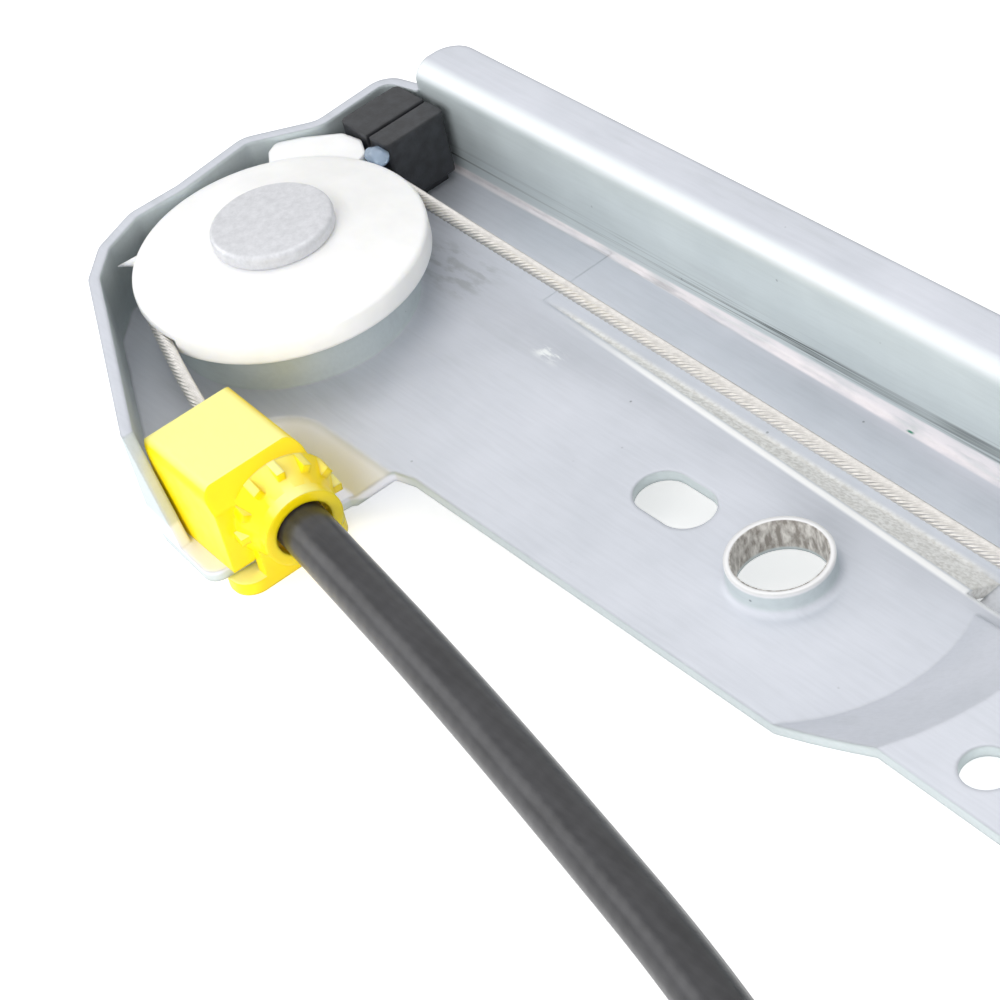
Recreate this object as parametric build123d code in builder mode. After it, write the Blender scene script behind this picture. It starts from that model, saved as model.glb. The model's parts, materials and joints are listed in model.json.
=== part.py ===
from build123d import *
from math import atan2, cos, degrees, hypot, radians, sin, tan
import os

# Single-rail cable window regulator, lying on its back.
# +X runs along the rail from its upper end to its lower end, +Y from the mounting plate to the
# rail flange, +Z up.  The origin is the axis of the upper fixing hole at the plate's upper face.
# Both ends of the rail are alike, mirrored about the middle of the rail.

# ---------------------------------------------------------------- driving sizes (mm)
sheet = 1.4                     # pressed steel
guide_x, guide_y = -78.6, -4.7  # upper cable guide's axis, from the upper fixing hole
guide_spacing = 520.0           # between the two cable guides
running_gap = 0.3               # between pieces that slide past each other
fit_gap = 0.05                  # round a shank or pin in its hole

# Every x and y below, up to the drum, is measured from the upper cable guide's axis.
plate_front = -10.5             # front edge of the mounting plate
wall_y = 30.2                   # inner face of the rail's wall
flange_top = 13.6
flange_width = 6.9              # beyond the wall's inner face
flange_end = -10.2
flange_corner = 3.4
bend_radius = 2.4               # outside of the bend between wall and flange
end_wall_top = 10.0
end_wall_drop = 14.2            # where the end wall slopes down to the tray
end_wall_run = 6.6

channel_depth = 2.4             # the rail floor sinks this far below the plate
channel_side = 19.2
channel_start, channel_end = 24.0, 95.0
channel_slope = 4.3             # run of the plate's slope down to the floor

tray_depth = 3.0                # seat of the conduit fitting below the plate
tray_x, tray_y = 13.2, -11.4
tray_run = 3.6                  # run of the slope down to the seat
tray_lip = 28.2                 # the fitting hooks over this edge
tray_side = -33.6
tray_corner = 7.0

boss_radius = 15.4              # drawn boss under the cable guide
boss_height = 5.8
boss_draft = 0.9

raised_height = 8.0             # side plate beyond the fixing hole
pad_radius = 20.6
ramp_run = 12.4
raised_side = 7.6
floor_side = 14.4
side_plate_end = 150.0
side_plate_front = -12.0
plain_side = 9.4                # edge of the plain rail between the side plates
lip_height = 4.6

fixing_bore = 10.1
fixing_outside = 11.6
collar_height = 2.7
slot_x, slot_y = 61.6, 5.4
slot_width, slot_length = 6.6, 10.4
side_hole = 5.2
side_hole_x, side_hole_y = 116.9, -6.2
cup_radius = 8.0                # drawn cup of the middle fixing hole
cup_draft = 2.6
cup_hole = 6.6
cup_y = 19.6
bench = -6.4                    # lowest face of cup, fittings and drum housing

guide_radius = 18.0             # rim of the plastic cable guide
guide_rim = 3.4
guide_hub = 2.0                 # rise from rim to hub
hub_radius = 9.6
groove_height = 2.2
groove_inner, groove_outer = 1.0, 2.4   # on either side of the rope's centre
cable = 1.8                     # wire rope
cable_level = 6.8
cable_arc = 17.6                # radius of the rope's way round the guide
cable_arc_y = 0.75
rope_on, rope_off = 251.1, 88.1 # directions from that arc's centre where the rope meets and leaves it
rivet_shank = 9.0
rivet_head = 15.0
rivet_rise = 2.0

conduit = 6.1
conduit_bore = 2.6
fitting_back = 13.6
fitting_length = 15.6
fitting_width = 12.8
fitting_y = -24.5
fitting_top = 8.0
fitting_yaw = -2.0
fitting_corner = 2.8            # its rear corner beside the end wall
fitting_edge = 1.6
shoulder = 13.2                 # the top slopes down from here to the collar
shoulder_drop = 2.6
collar_radius = 4.9
collar_length = 1.5
cone_length, cone_rise = 3.6, 1.6   # the collar widens towards the body
mouth_play = 0.5                # the conduit's seat is wider at its mouth
mouth_depth = 1.6
rib_count, rib_fan = 7, 180.0
rib_width, rib_length = 1.0, 2.4
neck_play, neck_length = 0.9, 1.6   # the neck passes in front of the lip
neck_width = 9.0
hook_width, hook_offset = 15.2, 1.0
hook_length = 5.6

bumper_front = -3.6
bumper_length = 9.6
bumper_y = 24.4
bumper_width = 9.2
bumper_height = 8.8
bumper_foot = 1.4
bumper_slit = 0.6

carrier_x = 200.0               # middle of the carrier, as drawn
carrier_length = 92.0
carrier_sheet = 2.0
carrier_side = 43.0
shoe_length = 22.0
shoe_roof = 3.2                 # plastic between flange and carrier plate
shoe_leg = 2.4                  # lowest face of the shoe's inner leg
holder_length = 34.0
holder_side = 12.6
holder_wall = 1.6
run_y, run_level = 16.45, 4.9   # the rope's straight run past the carrier
nipple = 4.2
nipple_length = 5.0
glass_gap = 4.6
clamp_y = -16.0
clamp_length, clamp_width = 56.0, 30.0
pad = 1.6
clamp_thread = 6.0
nut_width = 10.0
nut_height = 5.0

drum_x, drum_y = 260.0, -125.0  # drum axis
drum_radius = 20.0              # to the rope's centre
rope_step = 1.4                 # each rope lies this far above or below the middle
housing_wall = 2.4
housing_side = 6.2              # cover seat above the middle
port_angle = 27.0
port_length = 54.0
port_width = 11.0
sleeve_length = 9.0
spring_wire = 0.7
spring_turns = 5
post_radius = 4.6
spline_radius = 6.6
spline_teeth = 12
motor_pitch = 38.0
motor_hole = 6.4
bush_rise = 0.4                 # above the housing's face
cover_sheet = 1.8
cover_hole = 2.5
cover_screw_depth = 7.5
cover_screw_head = 4.8
cover_screw_rise = 1.4
bush_wall = 1.2

# ---------------------------------------------------------------- shared places and helpers
half = guide_spacing / 2
middle = Plane.YZ.offset(guide_x + half)
floor_level = -channel_depth
flange_side = wall_y + flange_width
shoe_top = flange_top + running_gap + shoe_roof
guide_top = boss_height + guide_rim
deep = 30.0                     # depth of the block that the sheet's form is cut from
high = 1.0                      # how far cuts run above the face that they open


def level(z=0.0):
    """Horizontal plane at height z whose origin is on the upper cable guide's axis."""
    return Plane((guide_x, guide_y, z))


def across(x):
    """Plane across the rail: its x is +Y and its y is +Z, with the origin on the guide's axis."""
    return Plane(origin=(guide_x + x, guide_y, 0), x_dir=(0, 1, 0), z_dir=(1, 0, 0))


def place(points):
    """Points given from the upper cable guide's axis, in the part's frame."""
    return [Vector(guide_x + x, guide_y + y, z) for x, y, z in points]


def opposite(points):
    """The same points at the lower end of the rail."""
    return [(guide_spacing - x, y, z) for x, y, z in points]


def on_arc(angle):
    """Point of the rope's arc round the guide, in the given direction."""
    return (cable_arc * cos(radians(angle)), cable_arc_y + cable_arc * sin(radians(angle)), cable_level)


def tangent_point(angle, distance):
    """Point on the arc's tangent, at that distance along the rope's way before or after it."""
    x, y, z = on_arc(angle)
    return (x + distance * sin(radians(angle)), y - distance * cos(radians(angle)), z)


def bend_radii(points, share=0.45):
    """Radius of the bend at each inner point, as large as its shorter run allows."""
    radii = []
    for before, here, after in zip(points, points[1:], points[2:]):
        arriving = Vector(*here) - Vector(*before)
        leaving = Vector(*after) - Vector(*here)
        turn = radians(arriving.get_angle(leaving))
        radii.append(share * min(arriving.length, leaving.length) / tan(turn / 2))
    return radii


os.makedirs("parts", exist_ok=True)


# ---------------------------------------------------------------- guide rail
def pressed_form(drop):
    """Block whose top is the pressed face, lowered by drop, with its walls moved out as far."""
    slope = channel_slope / channel_depth
    with BuildPart() as form:
        with BuildSketch(level(-deep)):
            with Locations((half / 2 - 30, 0)):
                Rectangle(half + 60, 120)
        extrude(amount=deep - drop)
        with BuildSketch(level(-drop)):
            Circle(boss_radius - drop)
        extrude(amount=boss_height, taper=degrees(atan2(boss_draft, boss_height)))
        # the floor beside the plate sinks evenly along the rail
        shallow = 0.05
        with BuildSketch(across(channel_start)):
            Polygon((channel_side, -shallow - drop), (70, -shallow - drop), (70, high - drop),
                    (channel_side - slope * (shallow + high), high - drop), align=None)
        with BuildSketch(across(channel_end)):
            Polygon((channel_side, floor_level - drop), (70, floor_level - drop), (70, high - drop),
                    (channel_side - slope * (channel_depth + high), high - drop), align=None)
        loft(ruled=True, mode=Mode.SUBTRACT)
        with BuildSketch(across(channel_end)):
            with Locations((floor_side, floor_level - drop)):
                Rectangle(70, channel_depth + high, align=Align.MIN)
        extrude(amount=half, mode=Mode.SUBTRACT)
        with BuildSketch(across(side_plate_end)):
            with Locations((-60, floor_level - drop)):
                Rectangle(140, channel_depth + high, align=Align.MIN)
        extrude(amount=half, mode=Mode.SUBTRACT)
        # seat of the conduit fitting
        with BuildSketch(level(-drop)) as mouth:
            with Locations((tray_x, tray_y)):
                Rectangle(60, 60, align=(Align.MIN, Align.MAX))
            fillet(mouth.vertices().group_by(Axis.X)[0].sort_by(Axis.Y)[-1], tray_corner)
        extrude(amount=-tray_depth, taper=degrees(atan2(tray_run, tray_depth)), mode=Mode.SUBTRACT)
        # cup of the middle fixing hole
        cup_depth = floor_level - sheet - bench
        with BuildSketch(level(floor_level - drop)):
            with Locations((half, cup_y)):
                Circle(cup_radius + cup_draft)
        extrude(amount=-cup_depth, taper=degrees(atan2(cup_draft, cup_depth)), mode=Mode.SUBTRACT)
    with BuildPart() as raised:
        with BuildSketch(across(channel_end - 15)):
            Polygon((-60, -deep), (-60, raised_height - drop), (raised_side, raised_height - drop),
                    (floor_side, floor_level - drop), (floor_side, -deep), align=None)
        extrude(amount=side_plate_end - channel_end + 15)
        # the ramp is round the fixing hole
        rise = raised_height + high
        with BuildSketch(Plane.XZ):
            ramp_end = pad_radius + ramp_run * rise / raised_height
            Polygon((0, -drop), (pad_radius, -drop), (ramp_end, rise - drop), (0, rise - drop), align=None)
        revolve(axis=Axis.Z, mode=Mode.SUBTRACT)
    return form.part + raised.part


# outside of the wall round the cable guide, from the rail's wall to the seat of the fitting
end_wall = [(-9, wall_y + sheet), (-16.6, 29.8), (-16.0, 18.2), (-21.2, 10.2), (-19.9, -1.0),
            (-20.2, -8.0), (-17.6, -14.4), (-13.2, -18.9), (end_wall_drop, -32.6)]

with BuildPart() as half_rail:
    # outline of the flat blank
    with BuildSketch(level(-deep)) as outline:
        with BuildLine():
            Polyline(*end_wall, (tray_lip - 1.0, tray_side), (tray_lip + 1.3, -15.5), (33.4, -11.2),
                     (36.0, plate_front), (channel_end, plate_front), (side_plate_end, side_plate_front),
                     (side_plate_end, floor_side - 1.2), (side_plate_end + 6, plain_side),
                     (half, plain_side), (half, wall_y), close=True)
        make_face()
        fillet(outline.vertices().filter_by(lambda v: v.X < -12), 3.2)
        fillet(outline.vertices().sort_by_distance((tray_lip - 1.0, tray_side))[0], 1.8)
        fillet(outline.vertices().sort_by_distance((side_plate_end, side_plate_front))[0], 12)
    extrude(amount=2 * deep)
    add(pressed_form(0), mode=Mode.INTERSECT)
    # wall round the cable guide
    with BuildSketch(level(-tray_depth)) as ring:
        with BuildLine():
            Polyline(*end_wall, (end_wall_drop + end_wall_run, tray_side + 0.5), (60, tray_side),
                     (60, wall_y + sheet), close=True)
        make_face()
        fillet(ring.vertices().filter_by(lambda v: v.X < -12), 3.2)
        outside = ring.sketch_local
        offset(amount=-sheet, kind=Kind.INTERSECTION, mode=Mode.REPLACE)
        inside = ring.sketch_local
        add(outside, mode=Mode.REPLACE)
        add(inside, mode=Mode.SUBTRACT)
        with Locations((flange_end + 0.1, 0)):
            Rectangle(90, 100, align=(Align.MIN, Align.MIN), mode=Mode.SUBTRACT)
        with Locations((end_wall_drop + end_wall_run, 0)):
            Rectangle(90, 100, align=(Align.MIN, Align.MAX), mode=Mode.SUBTRACT)
    extrude(amount=end_wall_top + tray_depth)
    # rail wall and flange
    with BuildSketch(across(flange_end)) as section:
        with BuildLine():
            Polyline((wall_y, -deep / 2), (wall_y, flange_top), (flange_side, flange_top),
                     (flange_side, flange_top - sheet), (wall_y + sheet, flange_top - sheet),
                     (wall_y + sheet, -deep / 2), close=True)
        make_face()
        fillet(section.vertices().group_by(Axis.Y)[-1].sort_by(Axis.X)[0], bend_radius)
        fillet(section.vertices().group_by(Axis.Y)[-2].sort_by(Axis.X)[0], bend_radius - sheet)
    extrude(amount=half - flange_end)
    corner = place([(flange_end, flange_side, flange_top)])[0]
    fillet(half_rail.edges().filter_by(Axis.Z).sort_by_distance(corner)[0], flange_corner)
    add(pressed_form(sheet), mode=Mode.SUBTRACT)

with BuildPart() as guide_rail:
    add(half_rail.part)
    # the end wall slopes down to the seat of the fitting
    with BuildSketch(Plane(origin=(guide_x, guide_y, 0), x_dir=(1, 0, 0), z_dir=(0, -1, 0)).offset(24)):
        Polygon((end_wall_drop, end_wall_top + 1), (end_wall_drop + end_wall_run, -tray_depth),
                (tray_lip + 8, -tray_depth), (tray_lip + 8, end_wall_top + 1), align=None)
    extrude(amount=20, mode=Mode.SUBTRACT)
    # lip along the plain rail
    with BuildSketch(across(side_plate_end + 12)):
        with Locations((plain_side, floor_level - sheet)):
            Rectangle(sheet, lip_height - floor_level + sheet, align=Align.MIN)
    extrude(amount=half - side_plate_end - 12)
    # fixing holes
    with BuildSketch(Plane.XY.offset(-sheet)):
        Circle(fixing_outside / 2)
    extrude(amount=collar_height + sheet)
    circles = guide_rail.edges().filter_by(GeomType.CIRCLE)
    fillet(circles.sort_by_distance((0, fixing_outside / 2, 0))[0], 1.0)
    with BuildSketch(Plane.XY.offset(-deep / 2)):
        Circle(fixing_bore / 2)
    extrude(amount=deep, mode=Mode.SUBTRACT)
    with BuildSketch(level(-deep / 2)):
        with Locations((slot_x, slot_y)):
            SlotOverall(slot_length, slot_width)
        with Locations((side_hole_x, side_hole_y)):
            Circle(side_hole / 2)
        with Locations((half, cup_y)):
            Circle(cup_hole / 2)
        Circle(rivet_shank / 2 + fit_gap)
    extrude(amount=deep, mode=Mode.SUBTRACT)
    mirror(guide_rail.part, about=middle)
guide_rail.part.label = "guide_rail"

# ---------------------------------------------------------------- cable guide and its rivet
with BuildPart() as upper_cable_guide:
    with BuildSketch(Plane(origin=(guide_x, guide_y, 0), x_dir=(1, 0, 0), z_dir=(0, -1, 0))) as disc:
        with BuildLine():
            Polyline((rivet_shank / 2 + fit_gap, boss_height),
                     (guide_radius, boss_height),
                     (guide_radius, guide_top),
                     (guide_radius - 2.2, guide_top + 0.5),
                     (hub_radius, guide_top + guide_hub),
                     (rivet_shank / 2 + fit_gap, guide_top + guide_hub),
                     close=True)
        make_face()
        fillet(disc.vertices().group_by(Axis.X)[-1], 0.6)
    revolve(axis=Axis((guide_x, guide_y, 0), (0, 0, 1)))
    # lobe that rests against the end wall and stops the guide from turning
    with BuildSketch(level(boss_height)) as lobe:
        with BuildLine():
            Polyline((-12.6, 8.0), (-16.8, 10.9), (-17.7, 12.7), (-15.7, 15.5), (-12.0, 19.1),
                     (-8.8, 19.6), (-6.2, 18.2), (-4.0, 12.0), close=True)
        make_face()
        fillet(lobe.vertices().filter_by(lambda v: hypot(v.X, v.Y) > guide_radius), 1.2)
    extrude(amount=guide_rim)
    # groove round the far side for the rope, open outwards
    with BuildLine() as groove_way:
        Line(place([tangent_point(rope_on, -20)])[0], place([on_arc(rope_on)])[0])
        CenterArc(place([(0, cable_arc_y, cable_level)])[0], cable_arc, rope_on, rope_off - rope_on)
        Line(place([on_arc(rope_off)])[0], place([tangent_point(rope_off, 20)])[0])
    groove_path = groove_way.wires()[0]
    with BuildSketch(Plane(origin=groove_path @ 0, x_dir=(0, 0, 1), z_dir=groove_path % 0)):
        with Locations((0, (groove_inner - groove_outer) / 2)):
            Rectangle(groove_height, groove_inner + groove_outer)
    sweep(path=groove_path, mode=Mode.SUBTRACT)
upper_cable_guide.part.label = "upper_cable_guide"

rivet_tail = boss_height - sheet
with BuildPart() as upper_guide_rivet:
    with BuildSketch(Plane(origin=(guide_x, guide_y, 0), x_dir=(1, 0, 0), z_dir=(0, -1, 0))) as rivet:
        with BuildLine():
            Polyline((0, rivet_tail - 2), (5.6, rivet_tail - 2), (6.6, rivet_tail),
                     (rivet_shank / 2, rivet_tail), (rivet_shank / 2, guide_top + guide_hub),
                     (rivet_head / 2, guide_top + guide_hub),
                     (rivet_head / 2, guide_top + guide_hub + rivet_rise),
                     (0, guide_top + guide_hub + rivet_rise), close=True)
        make_face()
        fillet(rivet.vertices().group_by(Axis.X)[-1], 0.6)
    revolve(axis=Axis((guide_x, guide_y, 0), (0, 0, 1)))
upper_guide_rivet.part.label = "upper_guide_rivet"

# ---------------------------------------------------------------- rope and conduit routes
sideways = Vector(sin(radians(port_angle)), cos(radians(port_angle)))
outwards = Vector(-cos(radians(port_angle)), sin(radians(port_angle)))


def along_port(distance, height):
    """Point on the rope's line out of the drum housing, from where it leaves the drum."""
    point = Vector(drum_x, drum_y) + sideways * drum_radius + outwards * distance
    return (point.X, point.Y, height)


def limb(step):
    """The conduit's route from the cable guide's fitting to the drum housing."""
    return [(25.4, -23.0, 2.0), (34.0, -24.0, 1.3), (70.0, -29.2, 1.3), (128.0, -40.1, step),
            along_port(96.0, step), along_port(port_length - 16, step)]


for name, step in (("upper", rope_step), ("lower", -rope_step)):
    radii = ", ".join(f"{radius:.0f}" for radius in bend_radii(limb(step)))
    print(f"{name} conduit bends: {radii} mm")


def swept(route, radius, bore=0.0):
    """Round tube along a route."""
    with BuildPart() as tube:
        with BuildLine():
            path = FilletPolyline(*place(route), radius=bend_radii(route))
        with BuildSketch(Plane(path @ 0, z_dir=path % 0)):
            Circle(radius)
            if bore:
                Circle(bore, mode=Mode.SUBTRACT)
        sweep(path=path)
    return tube.part


with BuildPart() as upper_conduit:
    add(swept(limb(rope_step), conduit / 2, conduit_bore / 2))
upper_conduit.part.label = "upper_conduit"

with BuildPart() as lower_conduit:
    add(swept(opposite(limb(-rope_step)), conduit / 2, conduit_bore / 2))
lower_conduit.part.label = "lower_conduit"


# ---------------------------------------------------------------- ropes
def rope_to_guide(step):
    """The rope's way from the drum through conduit and fitting up to the cable guide."""
    return [along_port(12.0, step)] + limb(step)[-2:0:-1] + [
        (21.0, -22.9, 2.4), tangent_point(rope_on, -18.6), on_arc(rope_on)]


def rope_to_carrier(holder_end):
    """The rope's way from the cable guide along the rail to its nipple."""
    return [on_arc(rope_off), tangent_point(rope_off, 12.0), (104.0, run_y, run_level),
            (holder_end, run_y, run_level)]


def rope(step, holder_end):
    """Whole rope, as at the upper end of the rail."""
    with BuildPart() as made:
        with BuildLine() as way:
            arriving = rope_to_guide(step)
            leaving = rope_to_carrier(holder_end)
            FilletPolyline(*place(arriving), radius=bend_radii(arriving))
            CenterArc(place([(0, cable_arc_y, cable_level)])[0], cable_arc, rope_on, rope_off - rope_on)
            FilletPolyline(*place(leaving), radius=bend_radii(leaving, 0.16))
        path = way.wires()[0]
        with BuildSketch(Plane(path @ 0, z_dir=path % 0)):
            Circle(cable / 2)
        sweep(path=path)
    return made.part


nipple_far = holder_length / 2 - holder_wall - nipple_length
with BuildPart() as upper_rope:
    add(rope(rope_step, carrier_x - nipple_far - nipple_length))
upper_rope.part.label = "upper_rope"

with BuildPart() as lower_rope:
    mirror(rope(-rope_step, guide_spacing - carrier_x - nipple_far - nipple_length), about=middle)
lower_rope.part.label = "lower_rope"

# ---------------------------------------------------------------- conduit fitting
seat = Plane(origin=(guide_x + fitting_back, guide_y + fitting_y, -tray_depth),
             x_dir=(cos(radians(fitting_yaw)), sin(radians(fitting_yaw)), 0), z_dir=(0, 0, 1))
seat_side = Plane(origin=seat.origin, x_dir=seat.x_dir, z_dir=-seat.y_dir)
body_height = fitting_top + tray_depth
lip_reach = tray_lip - fitting_back
neck_start = lip_reach + neck_play
conduit_inner, conduit_mouth = place(limb(rope_step)[:2])
mouth = Plane(origin=conduit_mouth, x_dir=(0, 0, 1), z_dir=conduit_inner - conduit_mouth)


def conduit_seat(route, grown):
    """Space that the conduit takes in the fitting."""
    with BuildPart() as space:
        add(swept(route[:4], conduit / 2 + grown))
    return space.part


with BuildPart() as upper_conduit_fitting:
    # body seen from the side, with its rear foot clear of the tray's slope
    with BuildSketch(seat_side):
        with BuildLine():
            Polyline((tray_run + 0.4, 0), (0, tray_run + 1.2), (0, body_height - 1), (1, body_height),
                     (shoulder, body_height - 0.2), (fitting_length, body_height - shoulder_drop),
                     (fitting_length, 0), close=True)
        make_face()
    extrude(amount=fitting_width / 2, both=True)
    along = Axis((0, 0, 0), seat.x_dir)
    fillet(upper_conduit_fitting.edges().filter_by(along, tolerance=3).group_by(Axis.Z)[-1], fitting_edge)
    with BuildSketch(seat.offset(-deep)) as plan:
        Rectangle(fitting_length, fitting_width, align=(Align.MIN, Align.CENTER))
        fillet(plan.vertices().sort_by_distance((0, -fitting_width / 2))[0], fitting_corner)
    extrude(amount=2 * deep, mode=Mode.INTERSECT)
    # collar round the conduit, widening to the body
    with BuildSketch(mouth):
        Circle(collar_radius)
    extrude(amount=collar_length)
    with BuildSketch(mouth.offset(collar_length)):
        Circle(collar_radius)
    extrude(amount=cone_length, taper=-degrees(atan2(cone_rise, cone_length)))
    # ribs on the collar's cone
    with BuildSketch(mouth.offset(collar_length + cone_length - rib_length)):
        with PolarLocations(collar_radius + cone_rise / 2, rib_count, start_angle=-rib_fan / 2,
                            angular_range=rib_fan, endpoint=True):
            Rectangle(cone_rise, rib_width)
    extrude(amount=rib_length)
    # hook below the lip of the tray
    hook_top = -sheet - running_gap
    hook_bottom = bench + tray_depth
    with BuildSketch(seat.offset(hook_bottom)) as hook:
        with Locations((neck_start + neck_length - hook_length, hook_offset)):
            Rectangle(hook_length, hook_width, align=(Align.MIN, Align.CENTER))
        fillet(hook.vertices(), 2.6)
    extrude(amount=hook_top - hook_bottom)
    with BuildSketch(seat.offset(hook_bottom)):
        with Locations((neck_start, hook_offset)):
            Rectangle(neck_length, neck_width, align=(Align.MIN, Align.CENTER))
    extrude(amount=tray_depth - hook_bottom)
    # nothing but the neck stands past the lip below the tray's seat
    with BuildSketch(seat.offset(hook_top)):
        with Locations((neck_start, 0)):
            Rectangle(30, 40, align=(Align.MAX, Align.CENTER))
    extrude(amount=-hook_top, mode=Mode.SUBTRACT)
    add(conduit_seat(limb(rope_step), fit_gap), mode=Mode.SUBTRACT)
    with BuildSketch(mouth):
        Circle(conduit / 2 + mouth_play)
    extrude(amount=mouth_depth, mode=Mode.SUBTRACT)
    with BuildLine() as bore_way:
        bore_points = limb(rope_step)[1:2] + rope_to_guide(rope_step)[-3:]
        FilletPolyline(*place(bore_points), radius=bend_radii(bore_points))
    with BuildSketch(Plane(bore_way.line @ 0, z_dir=bore_way.line % 0)):
        Circle(conduit_bore / 2)
    sweep(mode=Mode.SUBTRACT)
upper_conduit_fitting.part.label = "upper_conduit_fitting"

# ---------------------------------------------------------------- bumper
bumper_x = bumper_front - bumper_length / 2
with BuildPart() as upper_bumper:
    with BuildSketch(level(bumper_foot)):
        with Locations((bumper_x, bumper_y)):
            Rectangle(bumper_length, bumper_width)
    extrude(amount=bumper_height)
    fillet(upper_bumper.edges().filter_by(Axis.Z), 0.8)
    with BuildSketch(level(bumper_foot + bumper_height)):
        with Locations((bumper_x + 1, bumper_y)):
            Rectangle(bumper_slit, bumper_width + 2)
    extrude(amount=-1.6, mode=Mode.SUBTRACT)
    # foot that stands on the floor of the rail
    with BuildSketch(level()):
        with Locations((bumper_x, bumper_y)):
            Rectangle(bumper_length - 2, bumper_width - 2)
    extrude(amount=bumper_foot)
upper_bumper.part.label = "upper_bumper"


# ---------------------------------------------------------------- the same pieces at the lower end
with BuildPart() as lower_cable_guide:
    mirror(upper_cable_guide.part, about=middle)
lower_cable_guide.part.label = "lower_cable_guide"

with BuildPart() as lower_guide_rivet:
    mirror(upper_guide_rivet.part, about=middle)
lower_guide_rivet.part.label = "lower_guide_rivet"

with BuildPart() as lower_conduit_fitting:
    mirror(upper_conduit_fitting.part, about=middle)
lower_conduit_fitting.part.label = "lower_conduit_fitting"

with BuildPart() as lower_bumper:
    mirror(upper_bumper.part, about=middle)
lower_bumper.part.label = "lower_bumper"

# ---------------------------------------------------------------- carrier
plate_top = shoe_top + carrier_sheet
carrier_front = clamp_y - clamp_width / 2 - 3
bolt_hole = clamp_thread / 2 + fit_gap
half_carrier, half_clamp = carrier_length / 2, clamp_length / 2 + 3
with BuildPart() as carrier_plate:
    with BuildSketch(level(shoe_top)) as blank:
        with BuildLine():
            Polyline((carrier_x - half_carrier, carrier_side),
                     (carrier_x + half_carrier, carrier_side),
                     (carrier_x + half_carrier, holder_side - 6),
                     (carrier_x + half_clamp, holder_side - 14),
                     (carrier_x + half_clamp, carrier_front),
                     (carrier_x - half_clamp, carrier_front),
                     (carrier_x - half_clamp, holder_side - 14),
                     (carrier_x - half_carrier, holder_side - 6),
                     close=True)
        make_face()
        fillet(blank.vertices(), 5)
        with Locations((carrier_x - 30, 33), (carrier_x + 30, 33)):
            Circle(2.2, mode=Mode.SUBTRACT)
        with Locations((carrier_x, clamp_y)):
            Circle(bolt_hole, mode=Mode.SUBTRACT)
        with Locations((carrier_x, 28)):
            Rectangle(24 + 2 * fit_gap, 8.8 + 2 * fit_gap, mode=Mode.SUBTRACT)
    extrude(amount=carrier_sheet)
    # turned-down stiffening edges beside the shoes
    with BuildSketch(level(shoe_top - 3)):
        for end in (-1, 1):
            edge_x = carrier_x + end * (half_carrier - carrier_sheet / 2)
            with Locations((edge_x, (carrier_side + holder_side) / 2 + 4)):
                Rectangle(carrier_sheet, 20)
    extrude(amount=3)
carrier_plate.part.label = "carrier_plate"


def glide_shoe(x):
    """Plastic shoe that grips the rail's flange, with its peg through the carrier plate."""
    with BuildPart() as shoe:
        with BuildSketch(across(x - shoe_length / 2)) as section:
            over, under = flange_top + running_gap, flange_top - sheet - running_gap
            hook_end = flange_top - sheet - 3.4
            Polygon((holder_side + 7.6, shoe_top),
                    (holder_side + 7.6, shoe_leg),
                    (wall_y - running_gap, shoe_leg),
                    (wall_y - running_gap, over),
                    (flange_side + running_gap, over),
                    (flange_side + running_gap, under),
                    (wall_y + sheet + 1, under),
                    (wall_y + sheet + 1, hook_end),
                    (carrier_side - 1, hook_end),
                    (carrier_side - 1, shoe_top), align=None)
        extrude(amount=shoe_length)
        with BuildSketch(level(shoe_top)):
            with Locations((x, 33)):
                Circle(2.2 - fit_gap)
        extrude(amount=carrier_sheet)
        with BuildSketch(level(shoe_top + carrier_sheet)):
            with Locations((x, 33)):
                Circle(3.2)
        extrude(amount=0.9)
    return shoe.part


with BuildPart() as upper_glide_shoe:
    add(glide_shoe(carrier_x - 30))
upper_glide_shoe.part.label = "upper_glide_shoe"

with BuildPart() as lower_glide_shoe:
    add(glide_shoe(carrier_x + 30))
lower_glide_shoe.part.label = "lower_glide_shoe"

# holder for the two nipples, open below so that the ropes pass as it slides
tunnel_width = 5.0
tunnel_top = 8.2
with BuildPart() as nipple_holder:
    with BuildSketch(across(carrier_x - holder_length / 2)):
        with Locations((holder_side, 1.8)):
            Rectangle(tunnel_width + 4.0, shoe_top - 1.8, align=Align.MIN)
        with Locations((holder_side + 1.6, -1)):
            Rectangle(tunnel_width, tunnel_top + 1, align=Align.MIN, mode=Mode.SUBTRACT)
    extrude(amount=holder_length)
    # pegs up through the plate's slot
    with BuildSketch(across(carrier_x - 12)):
        with Locations((holder_side + tunnel_width + 3.8, shoe_top - 3.0)):
            Rectangle(11, 3.0, align=Align.MIN)
        with Locations((28 - 4.4, shoe_top)):
            Rectangle(8.8, carrier_sheet, align=Align.MIN)
    extrude(amount=24)
    # shoulders that the nipples pull against
    for end in (-1, 1):
        with BuildSketch(across(carrier_x + end * (holder_length / 2 - holder_wall / 2) - holder_wall / 2)):
            with Locations((run_y, run_level + 3.4)):
                Rectangle(tunnel_width, 3.6)
            with Locations((run_y, run_level)):
                Circle(nipple / 2, mode=Mode.SUBTRACT)
        extrude(amount=holder_wall)
nipple_holder.part.label = "nipple_holder"


def rope_nipple(x):
    """Cast nipple on the end of a rope."""
    with BuildPart() as cast:
        with BuildSketch(across(x - nipple_length / 2)):
            with Locations((run_y, run_level)):
                Circle(nipple / 2)
        extrude(amount=nipple_length)
    return cast.part


with BuildPart() as upper_nipple:
    add(rope_nipple(carrier_x - nipple_far - nipple_length / 2 + 0.1))
upper_nipple.part.label = "upper_nipple"

with BuildPart() as lower_nipple:
    add(rope_nipple(carrier_x + nipple_far + nipple_length / 2 - 0.1))
lower_nipple.part.label = "lower_nipple"

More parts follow.
